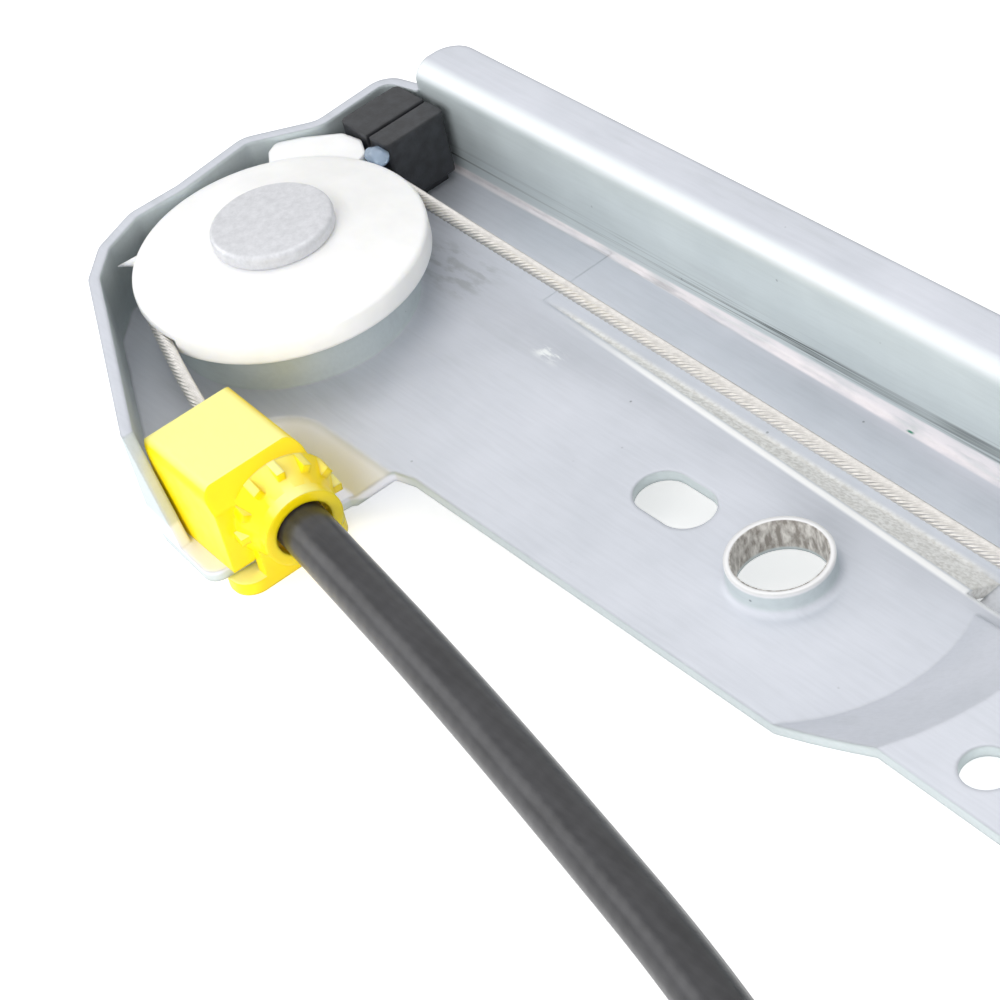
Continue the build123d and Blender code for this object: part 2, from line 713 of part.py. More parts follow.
# ---------------------------------------------------------------- glass clamp
with BuildPart() as clamp_pads:
    for low in (plate_top, plate_top + pad + glass_gap):
        with BuildSketch(level(low)):
            with Locations((carrier_x, clamp_y)):
                RectangleRounded(clamp_length, clamp_width, 4)
                Circle(bolt_hole + 1.2, mode=Mode.SUBTRACT)
        extrude(amount=pad)
clamp_pads.part.label = "clamp_pads"

clamp_low = plate_top + 2 * pad + glass_gap
with BuildPart() as clamp_plate:
    with BuildSketch(level(clamp_low)):
        with Locations((carrier_x, clamp_y)):
            RectangleRounded(clamp_length, clamp_width, 4)
            Circle(bolt_hole, mode=Mode.SUBTRACT)
    extrude(amount=carrier_sheet)
    with BuildSketch(level(clamp_low + carrier_sheet)):
        for end in (-1, 1):
            with Locations((carrier_x + end * 19, clamp_y)):
                SlotOverall(clamp_width - 10, 4, rotation=90)
    extrude(amount=0.9, taper=20)
clamp_plate.part.label = "clamp_plate"

with BuildPart() as clamp_screw:
    with BuildSketch(level(clamp_low + carrier_sheet)):
        with Locations((carrier_x, clamp_y)):
            Circle(7.0)
    extrude(amount=1.2)
    with BuildSketch(level(clamp_low + carrier_sheet + 1.2)):
        with Locations((carrier_x, clamp_y)):
            RegularPolygon(nut_width / 2, 6, major_radius=False)
    extrude(amount=4.0)
    with BuildSketch(level(shoe_top - nut_height - 1)):
        with Locations((carrier_x, clamp_y)):
            Circle(clamp_thread / 2)
    extrude(amount=clamp_low + carrier_sheet - shoe_top + nut_height + 1)
clamp_screw.part.label = "clamp_screw"

with BuildPart() as clamp_nut:
    with BuildSketch(level(shoe_top - nut_height)):
        with Locations((carrier_x, clamp_y)):
            RegularPolygon(nut_width / 2, 6, major_radius=False)
            Circle(bolt_hole, mode=Mode.SUBTRACT)
    extrude(amount=nut_height)
clamp_nut.part.label = "clamp_nut"

# ---------------------------------------------------------------- drum and its housing
chamber = drum_radius + cable + 1.2
housing_outer = chamber + housing_wall
lug_angles = (90, 210, 330)
bush_outer = motor_hole / 2 + bush_wall
lug_radius = bush_outer + 2.6
housing_height = housing_side - bench
floor_top = bench + housing_wall


def around(height, turn=0.0):
    """Horizontal plane whose origin is on the drum's axis, turned about it."""
    return Plane(origin=(guide_x + drum_x, guide_y + drum_y, height),
                 x_dir=(cos(radians(turn)), sin(radians(turn)), 0), z_dir=(0, 0, 1))


def port_plane(side, distance, height):
    """Plane across a port, looking outwards, at that distance along the rope's line."""
    x, y, z = along_port(distance, height)
    origin = place([(x if side > 0 else 2 * drum_x - x, y, z)])[0]
    return Plane(origin=origin, x_dir=(0, 0, 1), z_dir=(side * outwards.X, outwards.Y, 0))


port_seat = port_length - 38
with BuildPart() as drum_housing:
    with BuildSketch(around(bench)):
        Circle(housing_outer)
        with PolarLocations(motor_pitch, 3, start_angle=lug_angles[0]):
            Circle(lug_radius)
        for angle in lug_angles:
            with Locations(Rotation(0, 0, angle)):
                with Locations((motor_pitch / 2 + 6, 0)):
                    Rectangle(motor_pitch - 14, 2 * lug_radius - 3)
    extrude(amount=housing_height)
    for side in (1, -1):
        with BuildSketch(port_plane(side, port_seat - 12, 0)):
            with Locations((bench / 2 + housing_side / 2, 0)):
                Rectangle(housing_height, port_width)
        extrude(amount=port_length - port_seat + 12)
    with BuildSketch(around(floor_top)):
        Circle(chamber)
        Circle(post_radius, mode=Mode.SUBTRACT)
    extrude(amount=housing_side - floor_top, mode=Mode.SUBTRACT)
    with BuildSketch(around(rope_step + 1.0)):
        Circle(post_radius)
    extrude(amount=housing_side, mode=Mode.SUBTRACT)
    for side, step in ((1, rope_step), (-1, -rope_step)):
        with BuildSketch(port_plane(side, 6, step)):
            Circle(conduit_bore / 2)
        extrude(amount=port_seat, mode=Mode.SUBTRACT)
        # the conduit's end drops into a channel that is open above
        with BuildSketch(port_plane(side, port_seat, step)):
            Circle(conduit / 2 + 1.0)
            with Locations((10, 0)):
                Rectangle(20, conduit + 2.0)
        extrude(amount=port_length, mode=Mode.SUBTRACT)
    with BuildSketch(around(bench)):
        with PolarLocations(motor_pitch, 3, start_angle=lug_angles[0]):
            Circle(bush_outer + fit_gap)
    extrude(amount=housing_height, mode=Mode.SUBTRACT)
    with BuildSketch(around(housing_side)):
        with PolarLocations(chamber + housing_wall / 2, 3, start_angle=30):
            Circle(cover_hole / 2)
    extrude(amount=-cover_screw_depth - 0.5, mode=Mode.SUBTRACT)
drum_housing.part.label = "drum_housing"

with BuildPart() as motor_bushes:
    with BuildSketch(around(bench)):
        with PolarLocations(motor_pitch, 3, start_angle=lug_angles[0]):
            Circle(bush_outer)
            Circle(motor_hole / 2, mode=Mode.SUBTRACT)
    extrude(amount=housing_height + bush_rise)
motor_bushes.part.label = "motor_bushes"

screw_places = PolarLocations(chamber + housing_wall / 2, 3, start_angle=30)
cover_opening = spline_radius + 2.4
with BuildPart() as housing_cover:
    with BuildSketch(around(housing_side)):
        Circle(housing_outer)
        Circle(cover_opening, mode=Mode.SUBTRACT)
        with screw_places:
            Circle(3.4)
            Circle(cover_hole / 2, mode=Mode.SUBTRACT)
    extrude(amount=cover_sheet)
    with BuildSketch(around(housing_side + cover_sheet)):
        Circle(cover_opening + 2.2)
        Circle(cover_opening, mode=Mode.SUBTRACT)
    extrude(amount=1.0)
    for turn in range(15, 360, 30):
        with BuildSketch(around(housing_side + cover_sheet, turn)):
            with Locations((cover_opening + 8.0, 0)):
                Rectangle(12.0, 1.4)
        extrude(amount=0.8)
housing_cover.part.label = "housing_cover"

screw_seat = housing_side + cover_sheet
with BuildPart() as cover_screws:
    with BuildSketch(around(housing_side - cover_screw_depth)):
        with screw_places:
            Circle(cover_hole / 2 - fit_gap)
    extrude(amount=cover_screw_depth + cover_sheet)
    with BuildSketch(around(screw_seat)):
        with screw_places:
            Circle(cover_screw_head / 2)
    extrude(amount=cover_screw_rise)
    with BuildSketch(around(screw_seat + cover_screw_rise)):
        with screw_places:
            RegularPolygon(cover_screw_head / 4, 6)
    extrude(amount=-0.9, mode=Mode.SUBTRACT)
cover_screws.part.label = "cover_screws"

# the drum turns on a bush round the housing's post
bush_radius = post_radius + 1.4
drum_low = floor_top + 1.0
rim_radius = chamber - 0.8
groove_radius = cable / 2 + 0.1
with BuildPart() as drum_bush:
    with BuildSketch(around(floor_top)):
        Circle(bush_radius + 2)
        Circle(post_radius + fit_gap, mode=Mode.SUBTRACT)
    extrude(amount=0.7)
    with BuildSketch(around(floor_top)):
        Circle(bush_radius)
        Circle(post_radius + fit_gap, mode=Mode.SUBTRACT)
    extrude(amount=rope_step - floor_top)
drum_bush.part.label = "drum_bush"

with BuildPart() as cable_drum:
    with BuildSketch(around(drum_low)):
        Circle(rim_radius)
    extrude(amount=housing_side - running_gap - drum_low)
    with BuildSketch(around(housing_side - running_gap)):
        Circle(spline_radius + 2.0)
    extrude(amount=1.4)
    with BuildSketch(around(drum_low)):
        Circle(bush_radius + fit_gap)
    extrude(amount=rope_step + 0.6 - drum_low, mode=Mode.SUBTRACT)
    # splined bore for the motor's shaft
    with BuildSketch(around(rope_step + 0.6)):
        Circle(spline_radius)
        with PolarLocations(spline_radius - 0.2, spline_teeth):
            Rectangle(1.8, 1.5, mode=Mode.SUBTRACT)
    extrude(amount=housing_side, mode=Mode.SUBTRACT)
    # rope grooves, one for each rope
    for step in (rope_step, -rope_step):
        with BuildSketch(Plane(origin=around(step).origin, x_dir=(1, 0, 0), z_dir=(0, -1, 0))):
            with Locations((drum_radius, 0)):
                Circle(groove_radius)
            with Locations((drum_radius, -groove_radius)):
                Rectangle(6, 2 * groove_radius, align=Align.MIN)
        revolve(axis=Axis(around(0).origin, (0, 0, 1)), mode=Mode.SUBTRACT)
cable_drum.part.label = "cable_drum"

with BuildPart() as drum_windings:
    for step in (rope_step, -rope_step):
        with BuildSketch(Plane(origin=around(step).origin, x_dir=(1, 0, 0), z_dir=(0, -1, 0))):
            with Locations((drum_radius, 0)):
                Circle(cable / 2)
        revolve(axis=Axis(around(0).origin, (0, 0, 1)))
drum_windings.part.label = "drum_windings"

# ---------------------------------------------------------------- conduit sleeves and slack springs
sleeve_start = port_length - 16
spring_length = sleeve_start - port_seat - 1.5


def conduit_sleeve(side, step):
    """Moulded end of the conduit, which slides in the housing's channel."""
    with BuildPart() as sleeve:
        with BuildSketch(port_plane(side, sleeve_start - 1.5, step)):
            Circle(conduit / 2 + 0.8)
            Circle(conduit_bore / 2, mode=Mode.SUBTRACT)
        extrude(amount=1.5)
        with BuildSketch(port_plane(side, sleeve_start, step)):
            Circle(conduit / 2 + 0.8)
            Circle(conduit / 2 + fit_gap, mode=Mode.SUBTRACT)
        extrude(amount=sleeve_length)
    return sleeve.part


def slack_spring(side, step):
    """Compression spring that keeps the rope taut."""
    seat_plane = port_plane(side, port_seat + spring_wire / 2 + 0.1, step)
    coil_radius = conduit / 2 - 0.4
    with BuildPart() as spring:
        with BuildLine():
            coil = Helix(pitch=(spring_length - spring_wire - 0.4) / spring_turns,
                         height=spring_length - spring_wire - 0.4, radius=coil_radius,
                         center=seat_plane.origin, direction=seat_plane.z_dir)
        with BuildSketch(Plane(coil @ 0, z_dir=coil % 0)):
            Circle(spring_wire / 2)
        sweep(path=coil, is_frenet=True)
    return spring.part


with BuildPart() as upper_conduit_sleeve:
    add(conduit_sleeve(1, rope_step))
upper_conduit_sleeve.part.label = "upper_conduit_sleeve"

with BuildPart() as lower_conduit_sleeve:
    add(conduit_sleeve(-1, -rope_step))
lower_conduit_sleeve.part.label = "lower_conduit_sleeve"

with BuildPart() as upper_slack_spring:
    add(slack_spring(1, rope_step))
upper_slack_spring.part.label = "upper_slack_spring"

with BuildPart() as lower_slack_spring:
    add(slack_spring(-1, -rope_step))
lower_slack_spring.part.label = "lower_slack_spring"

# ---------------------------------------------------------------- export
for made in (guide_rail, upper_cable_guide, lower_cable_guide, upper_guide_rivet, lower_guide_rivet,
             upper_conduit_fitting, lower_conduit_fitting, upper_bumper, lower_bumper, upper_conduit,
             lower_conduit, upper_rope, lower_rope, carrier_plate, upper_glide_shoe, lower_glide_shoe,
             nipple_holder, upper_nipple, lower_nipple, clamp_pads, clamp_plate, clamp_screw, clamp_nut,
             drum_housing, motor_bushes, housing_cover, cover_screws, drum_bush, cable_drum,
             drum_windings, upper_conduit_sleeve, lower_conduit_sleeve, upper_slack_spring,
             lower_slack_spring):
    export_step(made.part, f"parts/{made.part.label}.step")
    print(f"{made.part.label}: {made.part.volume:.0f} mm3 in {len(made.part.solids())}")
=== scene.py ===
import json
from math import cos, pi, radians, sin

import bmesh
import bpy
from mathutils import Matrix, Vector, noise


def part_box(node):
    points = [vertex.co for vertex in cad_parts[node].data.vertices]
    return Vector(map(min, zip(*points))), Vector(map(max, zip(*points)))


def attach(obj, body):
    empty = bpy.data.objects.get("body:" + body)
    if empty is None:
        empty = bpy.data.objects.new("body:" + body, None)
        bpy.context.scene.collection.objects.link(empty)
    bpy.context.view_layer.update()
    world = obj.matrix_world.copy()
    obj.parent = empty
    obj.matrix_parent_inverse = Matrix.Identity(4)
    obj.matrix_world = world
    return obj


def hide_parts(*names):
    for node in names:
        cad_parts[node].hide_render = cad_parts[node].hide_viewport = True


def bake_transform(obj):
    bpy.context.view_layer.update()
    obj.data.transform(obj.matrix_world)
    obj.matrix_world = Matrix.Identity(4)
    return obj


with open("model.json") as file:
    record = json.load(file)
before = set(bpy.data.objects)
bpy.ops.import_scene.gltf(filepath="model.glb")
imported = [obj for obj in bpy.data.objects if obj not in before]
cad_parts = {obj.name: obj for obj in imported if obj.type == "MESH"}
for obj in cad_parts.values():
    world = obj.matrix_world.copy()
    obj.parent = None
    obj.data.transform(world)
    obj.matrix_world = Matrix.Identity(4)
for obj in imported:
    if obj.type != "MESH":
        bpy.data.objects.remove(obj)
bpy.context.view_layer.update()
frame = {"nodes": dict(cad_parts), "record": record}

nodes = frame["nodes"]
MM = 0.001

# The upper cable guide's axis, from which the rail's places are measured, in millimetres.
GUIDE_X, GUIDE_Y = -78.6, -4.7
GUIDE_SPACING = 520.0
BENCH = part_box("drum_housing")[0].z


def from_guide(x, y, z):
    """A point given from the upper cable guide's axis in millimetres, in metres in the part's frame."""
    return Vector((GUIDE_X + x, GUIDE_Y + y, z)) * MM


def link_to_scene(piece):
    bpy.context.scene.collection.objects.link(piece)
    return piece


def mesh_piece(name, mesh, finish, smooth=True):
    """Object from a bmesh in metres, which is freed."""
    data = bpy.data.meshes.new(name)
    mesh.to_mesh(data)
    mesh.free()
    if smooth:
        data.shade_smooth()
    data.materials.append(finish)
    return link_to_scene(bpy.data.objects.new(name, data))


def aimed(place, direction, ahead, up):
    """Matrix that sets an object at a place, with one of its axes along the direction."""
    return Matrix.Translation(place) @ direction.to_track_quat(ahead, up).to_matrix().to_4x4()


# ---------------------------------------------------------------- camera
EYE = Vector((153.6, -121.7, 191.2)) * MM
EYE_RIGHT = Vector((0.63515, 0.75016, -0.18398))
EYE_UP = Vector((-0.42682, 0.53940, 0.72586))
SENSOR, LENS = 36.0, 95.69            # millimetres
NEAREST, FARTHEST = 0.01, 10.0        # metres


def add_camera():
    """Long lens from the front right, above the plate."""
    lens = bpy.data.cameras.new("camera")
    lens.sensor_width = SENSOR
    lens.lens = LENS
    lens.clip_start, lens.clip_end = NEAREST, FARTHEST
    camera = link_to_scene(bpy.data.objects.new("camera", lens))
    back = EYE_RIGHT.cross(EYE_UP)
    turn = Matrix((EYE_RIGHT, EYE_UP, back)).transposed().to_4x4()
    camera.matrix_world = Matrix.Translation(EYE) @ turn
    bpy.context.scene.camera = camera


add_camera()


# ---------------------------------------------------------------- conduits
PORT_ANGLE = radians(27.0)
DRUM_X, DRUM_Y, DRUM_RADIUS = 260.0, -125.0, 20.0
ROPE_STEP = 1.4            # height of the upper rope at the drum; the lower one is as far below
CONDUIT = 6.1              # across


def along_port(distance, height):
    """Point on the rope's line out of the drum housing."""
    x = DRUM_X + sin(PORT_ANGLE) * DRUM_RADIUS - cos(PORT_ANGLE) * distance
    y = DRUM_Y + cos(PORT_ANGLE) * DRUM_RADIUS + sin(PORT_ANGLE) * distance
    return (x, y, height)


def limb(step):
    """The conduit's route from the fitting to the drum housing."""
    return [(25.4, -23.0, 2.0), (34.0, -24.0, 1.3), (70.0, -29.2, 1.3), (128.0, -40.1, step),
            along_port(96.0, step), along_port(38.0, step)]


def opposite(points):
    """The same points at the lower end of the rail."""
    return [(GUIDE_SPACING - x, y, z) for x, y, z in points]


def cord_curve(name, route, diameter):
    """Round cord on one smooth line through the route."""
    curve = bpy.data.curves.new(name, "CURVE")
    curve.dimensions = "3D"
    curve.resolution_u = 24
    line = curve.splines.new("NURBS")
    line.points.add(len(route) - 1)
    for point, place in zip(line.points, route):
        point.co = (*from_guide(*place), 1.0)
        point.radius = diameter / 2 * MM
    line.order_u = 3
    line.use_endpoint_u = True
    # the depth is multiplied by each point's radius, and the curve's box grows by that radius
    curve.bevel_depth = 1.0 if diameter else 0.0
    curve.bevel_resolution = 7
    curve.use_fill_caps = True
    return link_to_scene(bpy.data.objects.new(name, curve))


def spline_points(name, route):
    """Points along the route's own smooth line."""
    bare = cord_curve(name, route, 0.0)
    bare.data.use_fill_caps = False
    mesh = bpy.data.meshes.new_from_object(bare)
    points = [v.co.copy() for v in mesh.vertices]
    curve = bare.data
    bpy.data.objects.remove(bare)
    bpy.data.curves.remove(curve)
    bpy.data.meshes.remove(mesh)
    return points


def add_conduit(end, route):
    """Conduit from the fitting to its sleeve at the drum housing."""
    conduit = cord_curve(end + "_conduit_cover", route, CONDUIT)
    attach(conduit, "regulator")
    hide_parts(end + "_conduit")
    points = spline_points("measure", route)
    return conduit


conduits = [add_conduit("upper", limb(ROPE_STEP)), add_conduit("lower", opposite(limb(-ROPE_STEP)))]


# ---------------------------------------------------------------- materials
def linear(code):
    """Linear colour for an sRGB hex value."""
    parts = [int(code[i:i + 2], 16) / 255 for i in (1, 3, 5)]
    return (*[p / 12.92 if p <= 0.04045 else ((p + 0.055) / 1.055) ** 2.4 for p in parts], 1.0)


def new_material(name):
    """Material with an emptied node tree and its shader and output."""
    material = bpy.data.materials.new(name)
    material.use_nodes = True
    tree = material.node_tree
    tree.nodes.clear()
    output = tree.nodes.new("ShaderNodeOutputMaterial")
    shader = tree.nodes.new("ShaderNodeBsdfPrincipled")
    tree.links.new(shader.outputs[0], output.inputs["Surface"])
    return material, tree, shader


def put(tree, kind, inputs=(), **settings):
    """Adds a node with its settings; each input takes a value or a socket to link."""
    node = tree.nodes.new("ShaderNode" + kind)
    for key, value in settings.items():
        setattr(node, key, value)
    feed(tree, node, inputs)
    return node


def feed(tree, node, inputs):
    for key, value in dict(inputs).items():
        if isinstance(value, bpy.types.NodeSocket):
            tree.links.new(value, node.inputs[key])
        else:
            node.inputs[key].default_value = value


def object_place(tree, stretch=(1, 1, 1)):
    """Object coordinates in millimetres, divided by the stretch along each axis."""
    place = put(tree, "TexCoord").outputs["Object"]
    scale = tuple(1000 / s for s in stretch)
    return put(tree, "Mapping", {"Vector": place, "Scale": scale}).outputs[0]


def grains(tree, place, size, detail=3.0, rough=0.55):
    """Noise whose grains are about that many millimetres."""
    return put(tree, "TexNoise", {"Vector": place, "Scale": 1 / size, "Detail": detail,
                                  "Roughness": rough}).outputs[0]


def between(tree, factor, low, high, at=(0.35, 0.65)):
    """Two colours or greys mixed by a factor that runs between the two places."""
    ramp = put(tree, "ValToRGB", {"Fac": factor})
    for stop, colour, spot in zip(ramp.color_ramp.elements, (low, high), at):
        stop.position = spot
        stop.color = colour
    return ramp.outputs[0]


def grey(value):
    return (value, value, value, 1.0)


def streaked(tree, stretch, size, low, high, at, detail=3.0):
    """Grains drawn out along the axes, between two greys."""
    drawn = grains(tree, object_place(tree, stretch), size, detail)
    return between(tree, drawn, grey(low), grey(high), at)


def upwards(tree):
    """1 on faces that look up, 0 on walls and -1 on faces that look down."""
    normal = put(tree, "TexCoord").outputs["Normal"]
    return put(tree, "SeparateXYZ", {0: normal}).outputs[2]


def rounded(tree, radius):
    """Normal that runs round the edges, as if they were that many millimetres in radius."""
    return put(tree, "Bevel", {"Radius": radius * MM}, samples=4).outputs[0]


def bumped(tree, height, strength, depth, normal=None, **settings):
    """Normal with a height laid over it or over another normal, that deep in millimetres."""
    inputs = {"Height": height, "Strength": strength, "Distance": depth * MM}
    if normal is not None:
        inputs["Normal"] = normal
    return put(tree, "Bump", inputs, **settings).outputs[0]


def tinted(tree, factor, low, high, kind="MIX"):
    return put(tree, "MixRGB", {"Fac": factor, "Color1": low, "Color2": high}, blend_type=kind).outputs[0]


def times(tree, *factors):
    """Product of several masks."""
    product = factors[0]
    for factor in factors[1:]:
        product = put(tree, "Math", {0: product, 1: factor}, operation="MULTIPLY").outputs[0]
    return product


def within(tree, value, low, high, soft):
    """1 between the two values and 0 outside them; each edge fades by the soft width to both sides."""
    rise = put(tree, "MapRange", {"Value": value, "From Min": low - soft, "From Max": low + soft},
               interpolation_type="SMOOTHSTEP").outputs[0]
    fall = put(tree, "MapRange", {"Value": value, "From Min": high + soft, "From Max": high - soft},
               interpolation_type="SMOOTHSTEP").outputs[0]
    return times(tree, rise, fall)


def zone(tree, *spans):
    """1 inside all the spans; each is a coordinate, its low and high ends and its soft width."""
    return times(tree, *[within(tree, *span) for span in spans])


def any_ray(tree, *kinds):
    """1 for rays of these kinds and 0 for the rest."""
    path = put(tree, "LightPath")
    any_of, *others = [path.outputs[f"Is {kind} Ray"] for kind in kinds]
    for other in others:
        any_of = put(tree, "Math", {0: any_of, 1: other}, operation="MAXIMUM").outputs[0]
    return any_of


def rail_wear_and_painted_light(tree, base):
    """Marks of the press and of wear on the rail, with painted highlights, painted shade and painted
    reflections, in millimetres from the collared hole's axis.
    """
    place = object_place(tree)
    x, y, z = put(tree, "SeparateXYZ", {0: place}).outputs

    # painted shade: the drawn wall is darkened in streaks along the rail just above its foot, and darker
    # in patches
    wall_foot_shade = zone(tree, (y, 24.6, 26.4, 0.3), (z, -0.9, 3.4, 0.8))
    shade_streaks = streaked(tree, (60, 1, 0.5), 1.0, 0.0, 1.0, (0.47, 0.57), 4.0)
    patchy = streaked(tree, (30, 8, 4), 1.0, 0.25, 1.0, (0.40, 0.62))
    base = tinted(tree, times(tree, wall_foot_shade, shade_streaks, patchy), base, linear("#5F6666"))

    # painted highlights: the wall's foot and its bend into the flange are painted bright
    foot_highlight = zone(tree, (y, 24.75, 25.8, 0.2), (z, -2.6, 0.5, 0.2))
    foot_highlight_streaks = streaked(tree, (4, 1, 1), 1.2, 0.55, 1.0, (0.34, 0.60))
    base = tinted(tree, times(tree, foot_highlight, foot_highlight_streaks), base, linear("#F2EEF0"))
    # painted highlight along the bend into the flange
    bend_highlight = zone(tree, (y, 25.0, 27.2, 0.6), (z, 12.2, 14.5, 0.7))
    base = tinted(tree, bend_highlight, base, linear("#DDE2E4"))

    # slope down to the rail's floor, painted pale and speckled as the cable's blurred reflection, and the
    # crease that runs a little across it
    slope_reflection = zone(tree, (y, 8.6, 14.9, 0.5), (x, -58.0, 48.0, 9.0), (z, -2.35, -0.15, 0.12))
    speckled_reflection = between(tree, grains(tree, place, 0.5), linear("#DEDBD5"), linear("#FAF8F4"), (0.36, 0.62))
    base = tinted(tree, slope_reflection, base, speckled_reflection)
    across_for_along = 4.3 / 71.0
    crease = put(tree, "Math", {0: x, 1: across_for_along, 2: y}, operation="MULTIPLY_ADD").outputs[0]
    # painted highlight: a thin white line along the crease, where its rounded edge would shine
    edge = zone(tree, (crease, 10.45, 11.35, 0.25), (x, -42.0, 22.0, 12.0))
    base = tinted(tree, edge, base, linear("#FBFBFB"))

    # wear: a pale scuff, a dark smudge and a fleck of green paint
    streaks = grains(tree, object_place(tree, (3, 1, 1)), 1.1, 5.0)
    scuff = times(tree, zone(tree, (x, -48.2, -44.6, 1.0), (y, 7.4, 9.4, 0.6)),
                  between(tree, streaks, grey(0.0), grey(0.9), (0.50, 0.60)))
    base = tinted(tree, scuff, base, linear("#F4F7F7"))
    smudge = times(tree, zone(tree, (x, -74.0, -62.0, 2.5), (y, 8.5, 15.0, 1.5)),
                   between(tree, streaks, grey(0.0), grey(0.36), (0.46, 0.62)))
    base = tinted(tree, smudge, base, linear("#8D9190"))
    paint = zone(tree, (x, -6.4, -5.6, 0.3), (y, 25.0, 25.3, 0.1), (z, -2.6, -1.0, 0.2))
    base = tinted(tree, paint, base, linear("#2C8468"))

    # painted light: the tray under the conduit fitting is brightened and made bluer, to cancel the
    # fitting's yellow reflection and shade on it
    tray_painted_light = zone(tree, (x, -70.0, -44.0, 2.0), (y, -42.0, -12.0, 2.0), (z, -3.4, -0.4, 0.3))
    base = tinted(tree, tray_painted_light, base, linear("#E6E9F6"))

    # the collared hole's bore is torn, brownish and darker, partly painted shade inside the hole; its rim
    # has a painted highlight
    flat = put(tree, "CombineXYZ", {0: x, 1: y}).outputs[0]
    away = put(tree, "VectorMath", {0: flat}, operation="LENGTH").outputs["Value"]
    bore = zone(tree, (away, 3.0, 5.25, 0.1), (z, -1.0, 4.0, 0.2))
    torn = grains(tree, object_place(tree, (1, 1, 2.5)), 0.6, 4.0)
    torn_and_shaded = between(tree, torn, linear("#8E8882"), linear("#D6D3CE"), (0.38, 0.66))
    base = tinted(tree, bore, base, torn_and_shaded)
    # painted highlight: the top of the collar's rim is painted bright
    rim = zone(tree, (away, 5.2, 6.2, 0.1), (z, 2.3, 3.2, 0.2))
    return tinted(tree, rim, base, linear("#E9E9EA"))


ROLLED = (14, 1, 1)                   # stretch of the rolling lines, along the rail
SPOT_GAP = 3.6                        # millimetres from one dark spot in the zinc to the next
GLOW_REACH = (0.004, 0.0035, 0.002)   # how far red, green and blue light run inside plastic, metres


def zinc_plated_sheet(name, wear_and_painted_light=None):
    """Cold-rolled sheet with passivated zinc: pale blue-grey and satin, with a painted greener tint on its
    walls for the reflections they show.
    """
    material, tree, shader = new_material(name)
    place = object_place(tree)
    cloud = grains(tree, place, 16.0, 4.0)
    drawn = grains(tree, object_place(tree, ROLLED), 0.5, 2.0)
    fine = grains(tree, place, 0.25, 3.0)
    base = between(tree, cloud, linear("#C5C9D1"), linear("#D2D5DD"), (0.3, 0.7))
    # painted reflection: faces that do not look up are tinted greener
    upright = between(tree, upwards(tree), grey(1.0), grey(0.0), (0.25, 0.7))
    base = tinted(tree, upright, base, tinted(tree, 1.0, base, linear("#F8FFF8"), "MULTIPLY"))
    base = tinted(tree, 1.0, base, between(tree, drawn, grey(0.965), grey(1.0), (0.34, 0.6)), "MULTIPLY")
    nearest = put(tree, "TexVoronoi", {"Vector": place, "Scale": 1 / SPOT_GAP, "Randomness": 1.0})
    spots = between(tree, nearest.outputs["Distance"], grey(1.0), grey(0.0), (0.03, 0.06))
    patchy = between(tree, grains(tree, place, 9.0), grey(0.0), grey(0.75), (0.50, 0.60))
    spots = tinted(tree, 1.0, spots, patchy, "MULTIPLY")
    smears = streaked(tree, (9, 1.6, 1.6), 2.6, 0.0, 0.35, (0.60, 0.74), 5.0)
    base = tinted(tree, smears, base, linear("#B4B9BE"))
    base = tinted(tree, spots, base, linear("#70787C"))
    if wear_and_painted_light:
        base = wear_and_painted_light(tree, base)
    normal = bumped(tree, drawn, 0.25, 0.03, rounded(tree, 0.7))
    normal = bumped(tree, fine, 0.35, 0.02, normal)
    normal = bumped(tree, spots, 0.6, 0.05, normal, invert=True)
    feed(tree, shader, {"Base Color": base, "Metallic": 0.42, "Normal": normal,
                        "Roughness": between(tree, cloud, grey(0.40), grey(0.52))})
    return material


def moulded_plastic(name, low, high, rough, glow=0.0, grain=0.6, strength=0.12, painted_top_sheen=None):
    """Injection-moulded plastic: even colour, soft gloss and a faint moulded grain; given a top colour,
    faces that look up are painted paler, a painted sheen.
    """
    material, tree, shader = new_material(name)
    place = object_place(tree)
    base = between(tree, grains(tree, place, 6.0), linear(low), linear(high))
    # painted highlight: faces that look up are tinted paler towards the top colour
    if painted_top_sheen:
        top_sheen_mask = between(tree, upwards(tree), grey(0.0), grey(1.0), (0.75, 0.99))
        base = tinted(tree, top_sheen_mask, base, linear(painted_top_sheen))
    shine = between(tree, grains(tree, place, 3.0), grey(rough - 0.05), grey(rough + 0.06))
    normal = bumped(tree, grains(tree, place, grain), strength, 0.05, rounded(tree, 0.5))
    feed(tree, shader, {"Base Color": base, "Roughness": shine, "Normal": normal, "IOR": 1.49,
                        "Subsurface Weight": glow, "Subsurface Radius": GLOW_REACH,
                        "Subsurface Scale": 0.4})
    return material


def headed_steel(name):
    """Cold-headed rivet: bright, pressed face with faint dents."""
    material, tree, shader = new_material(name)
    place = object_place(tree)
    base = between(tree, grains(tree, place, 1.0, 5.0, 0.7), linear("#C9CACE"), linear("#D8D9DD"))
    normal = bumped(tree, grains(tree, place, 0.7, 4.0), 0.35, 0.05, rounded(tree, 0.4))
    feed(tree, shader, {"Base Color": base, "Metallic": 0.6, "Roughness": 0.42, "Normal": normal})
    return material


def drawn_wire(name):
    """Stranded carbon steel wire with a film of grease."""
    material, tree, shader = new_material(name)
    base = between(tree, grains(tree, object_place(tree), 0.7, 2.0), linear("#CFCCC8"), linear("#DDDAD6"))
    feed(tree, shader, {"Base Color": base, "Metallic": 0.75, "Roughness": 0.34})
    return material


